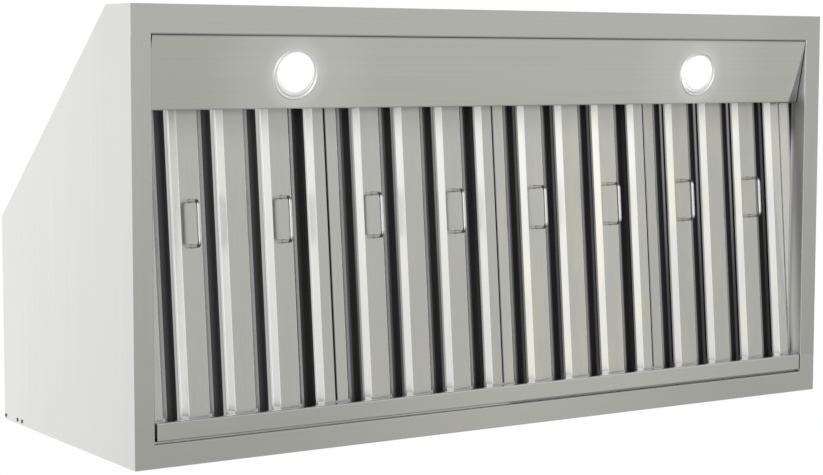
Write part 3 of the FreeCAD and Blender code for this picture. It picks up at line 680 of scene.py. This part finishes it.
def trimSteel(name, side):
    finish = Finish(name, Metallic=1.0)
    haze = finish.cloud(trimLook["haze"], shift=trimLook["hazeShift"])
    finish.set({"Base Color": finish.mix(haze, scaled(trimLook["tone"], trimLook["dark"]), trimLook["tone"])})
    finish.set({"Roughness": swing(haze, trimLook["roughSwing"]) + trimLook["rough"]})
    x, y, z = finish.parts(finish.spot())
    across = x - side * lampX
    along = y - panelLook["lampY"]
    # painted glow in the groove and a painted flare about the lens
    lit = finish.spread(across.reach(along), *trimLook["lit"])
    shift = trimLook["flareAt"][side]
    size = trimLook["flareSize"][side]
    oval = ((across - shift[0]) / size[0]).reach((along - shift[1]) / size[1])
    flare = finish.spread(oval, *trimLook["flareSoft"])
    groove = finish.mix(lit, trimLook["rim"], trimLook["groove"])
    finish.glow(finish.mix(flare, groove, trimLook["flare"]))
    finish.bump(haze, trimLook["depth"])
    return finish.material


# cast, painted and moulded surfaces with a pebbled skin
pebbleLook = {"gritRough": 0.12, "patch": 0.06, "patchShift": 2.0, "patchShare": 0.5, "patchRough": 0.08}
skins = {
    "cast": {
        "dark": (0.44, 0.44, 0.45), "light": (0.56, 0.56, 0.57), "metal": 1.0,
        "grit": 0.0012, "depth": 0.00006, "rough": 0.5,
    },
    "motorPaint": {
        "dark": (0.018, 0.018, 0.02), "light": (0.035, 0.035, 0.038), "metal": 0.0,
        "grit": 0.0016, "depth": 0.00004, "rough": 0.42,
    },
    "moulded": {
        "dark": (0.014, 0.014, 0.015), "light": (0.026, 0.026, 0.027), "metal": 0.0,
        "grit": 0.0007, "depth": 0.00003, "rough": 0.5,
    },
    "driverCase": {
        "dark": (0.55, 0.55, 0.53), "light": (0.66, 0.66, 0.64), "metal": 0.0,
        "grit": 0.0007, "depth": 0.00003, "rough": 0.45,
    },
}


def pebbled(name):
    skin = skins[name]
    finish = Finish(name, Metallic=skin["metal"])
    grit = finish.cloud(skin["grit"], detail=3.0)
    patch = finish.cloud(pebbleLook["patch"], shift=pebbleLook["patchShift"])
    tone = weigh(grit, patch, pebbleLook["patchShare"])
    finish.set({"Base Color": finish.mix(tone, skin["dark"], skin["light"])})
    rough = swing(grit, pebbleLook["gritRough"]) + swing(patch, pebbleLook["patchRough"])
    finish.set({"Roughness": rough + skin["rough"]})
    finish.bump(grit, skin["depth"])
    return finish.material


# button caps with a turned face: rings round each cap's own middle
buttonLook = {
    "count": 5, "ring": 0.0007, "depth": 0.00001,
    "tone": (0.66, 0.66, 0.64), "dark": 0.88, "rough": 0.23, "roughSwing": 0.1,
}
buttonNumbers = range(1, buttonLook["count"] + 1)


def turnedCap(name, number):
    finish = Finish(name, Metallic=1.0)
    x, y, z = finish.parts(finish.spot())
    middle = middleOf("button_" + str(number))
    rings = (x - middle.x).reach(z - middle.z) / buttonLook["ring"]
    ripple = abs(rings.fract() - 0.5) * 2
    tone = buttonLook["tone"]
    finish.set({"Base Color": finish.mix(ripple, scaled(tone, buttonLook["dark"]), tone)})
    finish.set({"Roughness": swing(ripple, buttonLook["roughSwing"]) + buttonLook["rough"]})
    finish.bump(ripple, buttonLook["depth"])
    return finish.material


# lit lens: white all over, dimmer at its edge, most so on the wall side
lensLook = {
    "y": -0.5202, "radius": 0.0268, "rough": 0.35, "glow": 2.6, "edge": (0.84, 0.99),
    "face": grey(0.95), "rim": (0.85, 0.87, 0.88), "rimGlow": (0.06, 0.063, 0.065),
}


def litLens(name, side):
    finish = Finish(name, Roughness=lensLook["rough"])
    x, y, z = finish.parts(finish.spot())
    reach = (x - side * lampX).reach(y - lensLook["y"]) / lensLook["radius"]
    edge = finish.spread(reach, *lensLook["edge"])
    finish.set({"Base Color": finish.mix(edge, lensLook["face"], lensLook["rim"])})
    finish.glow(finish.mix(edge, white, lensLook["rimGlow"]), lensLook["glow"])
    return finish.material


looks = {
    "sheetX": brushedSteel("sheetX", 0),
    "sheetY": brushedSteel("sheetY", 1, sideDrift),
    "tray": brushedSteel("tray", 0, trayDrift),
    "panel": panelSteel("panel"),
    "strip": stripSteel("strip"),
    "rim": rimSteel("rim"),
    "zinc": galvanised("zinc"),
    "pull": pullSteel("pull"),
}
for name in drawn:
    looks[name] = drawnSteel(name)
for name in skins:
    looks[name] = pebbled(name)
for side, word in bothSides:
    looks["trim" + word.title()] = trimSteel("trim" + word.title(), side)
    looks["lens" + word.title()] = litLens("lens" + word.title(), side)
for number in filterNumbers:
    looks["filter" + str(number)] = filterSteel("filter" + str(number), number)
    looks["inner" + str(number)] = innerSteel("inner" + str(number), number)
for number in buttonNumbers:
    looks["cap" + str(number)] = turnedCap("cap" + str(number), number)
print("finishes:", len(looks))


# which finish each CAD node wears
worn = {
    "sheetX": ("front_canopy", "top_panel", "back_panel", "rear_ledge"),
    "tray": ("grease_tray",),
    "sheetY": ("left_side_panel", "right_side_panel"),
    "panel": ("light_panel",),
    "rim": ("bottom_frame",),
    "zinc": (
        "scroll_housing", "inlet_ring_left", "inlet_ring_right", "outlet_transition", "blower_wheel",
        "motor_spider", "duct_collar", "damper_flap_front", "damper_flap_rear",
        "junction_box", "junction_box_lid",
    ),
    "rod": ("damper_rod", "wheel_shaft"),
    "screw": ("collar_screws",),
    "rivet": ("left_side_rivets", "right_side_rivets"),
    "cast": ("lamp_left_module", "lamp_right_module"),
    "motorPaint": ("motor",),
    "moulded": ("control_fascia", "switch_block", "cable_bushing"),
    "driverCase": ("lamp_driver",),
    "pull": tuple("filter_" + str(number) + "_pulls" for number in filterNumbers),
}
for side, word in bothSides:
    worn["trim" + word.title()] = ("lamp_" + word + "_bezel",)
    worn["lens" + word.title()] = ("lamp_" + word + "_lens",)
for number in filterNumbers:
    stem = "filter_" + str(number)
    worn["filter" + str(number)] = (stem + "_frame", stem + "_front_baffles")
    worn["inner" + str(number)] = (stem + "_rear_baffles",)
for number in buttonNumbers:
    worn["cap" + str(number)] = ("button_" + str(number),)


def dress():
    for look, names in worn.items():
        for name in names:
            slots = nodes[name].data.materials
            slots.clear()
            slots.append(looks[look])
    bare = set(nodes) - {name for names in worn.values() for name in names}
    print("dressed", len(nodes) - len(bare), "nodes, bare:", sorted(bare))


dress()


def addPiece(name, mesh, body, stands=None):
    piece = bpy.data.objects.new(name, mesh)
    scene.collection.objects.link(piece)
    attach(piece, body)
    if stands:
        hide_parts(stands)


def meshFrom(form, name, look):
    bmesh.ops.recalc_face_normals(form, faces=form.faces)
    mesh = bpy.data.meshes.new(name)
    form.to_mesh(mesh)
    form.free()
    mesh.materials.append(looks[look])
    return mesh


# lamp: a trim with an outer bead, a groove and a small inner bead, and a lens with pressed rings;
# the profiles are (radius, height) in millimetres
lamp = {
    "seat": (-0.51702, 0.01093),
    "tilt": 11.14,
    "sharp": 50,
    "trimSteps": 96,
    "trim": (
        (27.0, -0.6), (27.5, -1.25), (28.2, -1.6), (28.9, -1.5), (29.5, -1.0), (30.2, -0.7), (31.0, -0.75),
        (31.5, -1.2), (32.0, -1.85), (32.7, -2.35), (33.4, -2.5), (34.1, -2.35), (34.65, -1.8), (34.95, -1.0),
        (35.0, 0.0), (29.0, 0.0), (29.0, 12.0), (27.0, 12.0),
    ),
    "lensSteps": 72,
    "lens": (
        (0, -1.9), (4.0, -1.88), (4.2, -1.7), (8.5, -1.86), (8.7, -1.65), (13.0, -1.8), (13.2, -1.55),
        (17.5, -1.7), (17.7, -1.45), (21.8, -1.55), (22.0, -1.3), (25.4, -1.35), (26.4, -1.05), (26.8, -0.5),
        (26.8, 1.1), (0, 1.1),
    ),
}


# a profile turned round its axis and put in place: a ring, or a solid where it starts on the axis
def turnedMesh(name, profile, steps, place, look):
    form = bmesh.new()
    rings = []
    for radius, height in profile:
        turns = [2 * math.pi * step / steps for step in range(steps if radius else 1)]
        spots = [Vector((radius * math.cos(turn), radius * math.sin(turn), height)) * mm for turn in turns]
        rings.append([form.verts.new(place @ spot) for spot in spots])
    onAxis = profile[0][0] == 0
    following = rings[1:] if onAxis else rings[1:] + rings[:1]
    for lower, upper in zip(rings, following):
        for step in range(steps):
            after = (step + 1) % steps
            if len(lower) == 1:
                form.faces.new((lower[0], upper[after], upper[step]))
            elif len(upper) == 1:
                form.faces.new((lower[step], lower[after], upper[0]))
            else:
                form.faces.new((lower[step], lower[after], upper[after], upper[step]))
    for face in form.faces:
        face.smooth = True
    mesh = meshFrom(form, name, look)
    mesh.set_sharp_from_angle(angle=math.radians(lamp["sharp"]))
    return mesh


def makeLamps():
    tilt = Matrix.Rotation(math.radians(lamp["tilt"]), 4, "X")
    for side, word in bothSides:
        place = Matrix.Translation((side * lampX, *lamp["seat"])) @ tilt
        name = "lampTrim_" + word
        mesh = turnedMesh(name, lamp["trim"], lamp["trimSteps"], place, "trim" + word.title())
        addPiece(name, mesh, "hood", "lamp_" + word + "_bezel")
        name = "lampLens_" + word
        mesh = turnedMesh(name, lamp["lens"], lamp["lensSteps"], place, "lens" + word.title())
        addPiece(name, mesh, "hood", "lamp_" + word + "_lens")


makeLamps()
print("lamps made")


# bright guide strips on the side walls, close beside the outer filters, with a rolled lower edge;
# the section is (off the wall, height) in millimetres
strip = {
    "run": (-0.4695, -0.05),
    "section": (
        (0.0, 26.0), (1.6, 26.0), (2.7, 26.4), (3.3, 27.1),
        (3.45, 28.0), (3.45, 62.0), (2.9, 63.0), (0.0, 63.0),
    ),
}


def makeStrips():
    count = len(strip["section"])
    for side, word in bothSides:
        form = bmesh.new()
        ends = []
        for y in strip["run"]:
            places = [(side * (rimLook["side"] - off * mm), y, z * mm) for off, z in strip["section"]]
            ends.append([form.verts.new(place) for place in places])
        for i in range(count):
            after = (i + 1) % count
            form.faces.new((ends[0][i], ends[0][after], ends[1][after], ends[1][i]))
        for end in ends:
            form.faces.new(end)
        name = "guideStrip_" + word
        addPiece(name, meshFrom(form, name, "strip"), "hood")


makeStrips()
print("guide strips made")


# heads set on points: rings of (rise, scale) that shrink as they rise, with or without a cross recess
headLook = {
    "sides": 20, "join": 0.00001,
    "dome": ((0.35, 0.96), (0.35, 0.82), (0.2, 0.62), (0.1, 0.35)),
    "pan": ((0.45, 0.95), (0.35, 0.86), (0.2, 0.8)),
    "slotReach": 1.15, "slotSinks": (2.0, 2.2),  # unequal, so that the two slots' floors don't coincide
    "spin": 1.5, "seed": 7,
}


class Kit(Book):
    def __init__(self, name, sizes):
        super().__init__(bpy.data.node_groups.new(name, "GeometryNodeTree"))
        face = self.tree.interface
        face.new_socket("Points", in_out="INPUT", socket_type="NodeSocketGeometry")
        for label in sizes:
            face.new_socket(label, in_out="INPUT", socket_type="NodeSocketFloat")
        face.new_socket("Finish", in_out="INPUT", socket_type="NodeSocketMaterial")
        face.new_socket("Heads", in_out="OUTPUT", socket_type="NodeSocketGeometry")
        self.source = self.add("NodeGroupInput")

    def head(self, rings):
        height = self.source.out("Head Height")
        inputs = {"Vertices": headLook["sides"], "Radius": self.source.out("Head Radius")}
        disc = self.add("GeometryNodeMeshCircle", {"fill_type": "NGON"}, inputs)
        floor = self.add("GeometryNodeFlipFaces", None, {0: disc})
        stack = disc
        top = True
        for rise, scale in rings:
            inputs = {"Mesh": stack, "Selection": top, "Offset Scale": height * rise, "Individual": False}
            stack = self.add("GeometryNodeExtrudeMesh", {"mode": "FACES"}, inputs)
            top = stack.out("Top")
            inputs = {"Geometry": stack, "Selection": top, "Scale": scale}
            stack = self.add("GeometryNodeScaleElements", {"domain": "FACE"}, inputs)
        both = self.add("GeometryNodeJoinGeometry", None, {0: [stack, floor]})
        return self.add("GeometryNodeMergeByDistance", None, {"Geometry": both, "Distance": headLook["join"]})

    def recess(self, solid):
        width = self.source.out("Slot Width")
        depth = self.source.out("Slot Depth")
        length = self.source.out("Head Radius") * headLook["slotReach"]
        lift = self.add("ShaderNodeCombineXYZ", None, {"Z": self.source.out("Head Height")})
        bars = []
        for (x, y), sink in zip(((length, width), (width, length)), headLook["slotSinks"]):
            size = self.add("ShaderNodeCombineXYZ", None, {"X": x, "Y": y, "Z": depth * sink})
            bar = self.add("GeometryNodeMeshCube", None, {"Size": size})
            bars.append(self.add("GeometryNodeTransform", None, {"Geometry": bar, "Translation": lift}))
        inputs = {"Mesh 1": solid, "Mesh 2": bars}
        return self.add("GeometryNodeMeshBoolean", {"operation": "DIFFERENCE"}, inputs)

    def close(self, solid):
        settings = {"data_type": "FLOAT_VECTOR"}
        facing = self.add("GeometryNodeInputNamedAttribute", settings, {"Name": "facing"})
        turned = self.add("FunctionNodeAlignRotationToVector", {"axis": "Z"}, {"Vector": facing})
        inputs = {2: 0.0, 3: headLook["spin"], "Seed": headLook["seed"]}
        spin = self.add("FunctionNodeRandomValue", {"data_type": "FLOAT"}, inputs, 1)
        about = self.add("FunctionNodeAxisAngleToRotation", None, {"Axis": (0.0, 0.0, 1.0), "Angle": spin})
        inputs = {"Rotation": turned, "Rotate By": about}
        turned = self.add("FunctionNodeRotateRotation", {"rotation_space": "LOCAL"}, inputs)
        inputs = {"Points": self.source.out("Points"), "Instance": solid, "Rotation": turned}
        heads = self.add("GeometryNodeInstanceOnPoints", None, inputs)
        plain = self.add("GeometryNodeRealizeInstances", None, {0: heads})
        inputs = {"Geometry": plain, "Material": self.source.out("Finish")}
        dressed = self.add("GeometryNodeSetMaterial", None, inputs)
        self.add("NodeGroupOutput", None, {"Heads": dressed})
        return self.tree


def domeTree():
    kit = Kit("domeHeads", ("Head Radius", "Head Height"))
    return kit.close(kit.head(headLook["dome"]))


def screwTree():
    kit = Kit("crossScrews", ("Head Radius", "Head Height", "Slot Width", "Slot Depth"))
    return kit.close(kit.recess(kit.head(headLook["pan"])))


# spots are pairs of a place and the way that the head faces
def scatter(name, tree, spots, sizes, look):
    mesh = bpy.data.meshes.new(name + "Points")
    mesh.from_pydata([place for place, way in spots], [], [])
    facing = mesh.attributes.new("facing", "FLOAT_VECTOR", "POINT")
    for item, (place, way) in zip(facing.data, spots):
        item.vector = way
    seed = bpy.data.objects.new(name + "Points", mesh)
    scene.collection.objects.link(seed)
    heads = seed.modifiers.new("heads", "NODES")
    heads.node_group = tree
    for item in tree.interface.items_tree:
        if item.in_out == "INPUT" and item.name in sizes:
            heads[item.identifier] = sizes[item.name]
        elif item.in_out == "INPUT" and item.name == "Finish":
            heads[item.identifier] = looks[look]
    made = seed.evaluated_get(bpy.context.evaluated_depsgraph_get())
    plain = bpy.data.meshes.new_from_object(made)
    bpy.data.objects.remove(seed)
    return plain


# cross-recess screws round the duct collar
collarScrews = {
    "circle": 0.1362,
    "count": 6,
    "sizes": {"Head Radius": 0.004, "Head Height": 0.0024, "Slot Width": 0.0009, "Slot Depth": 0.0011},
}


def collarSpots():
    low, high = boxOf("collar_screws")
    middle = middleOf("collar_screws")
    spots = []
    for i in range(collarScrews["count"]):
        turn = 2 * math.pi * (i + 0.5) / collarScrews["count"]
        x = middle.x + collarScrews["circle"] * math.cos(turn)
        y = middle.y + collarScrews["circle"] * math.sin(turn)
        spots.append(((x, y, low.z), (0, 0, 1)))
    return spots


# rivets along the wall edge of each side panel
sideRivets = {
    "heights": (0.4538, 0.408, 0.3908),
    "sizes": {"Head Radius": 0.003, "Head Height": 0.0014},
}


def rivetSpots(side):
    low, high = boxOf("right_side_panel")
    y = middleOf("right_side_rivets").y
    return [((side * high.x, y, z), (side, 0, 0)) for z in sideRivets["heights"]]


# weld beads where the pulls' legs stand on the baffles
pullWelds = {
    "along": (0.139, 0.2),
    "sizes": {"Head Radius": 0.0031, "Head Height": 0.0009},
}


def weldSpots(number):
    sine = math.sin(bank["tilt"])
    cosine = math.cos(bank["tilt"])
    frontY, frontZ = bank["front"]
    spots = []
    for side in (-1, 1):
        for along in pullWelds["along"]:
            x = filterMiddle(number) + side * bank["slotPitch"]
            place = (x, frontY + along * cosine, frontZ - along * sine)
            spots.append((place, (0, -sine, -cosine)))
    return spots


def makeHeads():
    domes = domeTree()
    crosses = screwTree()
    mesh = scatter("collarScrewHeads", crosses, collarSpots(), collarScrews["sizes"], "screw")
    addPiece("collarScrewHeads", mesh, "hood", "collar_screws")
    for side, word in bothSides:
        name = "rivetHeads_" + word
        mesh = scatter(name, domes, rivetSpots(side), sideRivets["sizes"], "rivet")
        addPiece(name, mesh, "hood", word + "_side_rivets")
    for number in filterNumbers:
        name = "pullWelds_" + str(number)
        mesh = scatter(name, domes, weldSpots(number), pullWelds["sizes"], "weld")
        addPiece(name, mesh, "filter_" + str(number))


makeHeads()
print("screws, rivets and welds made")
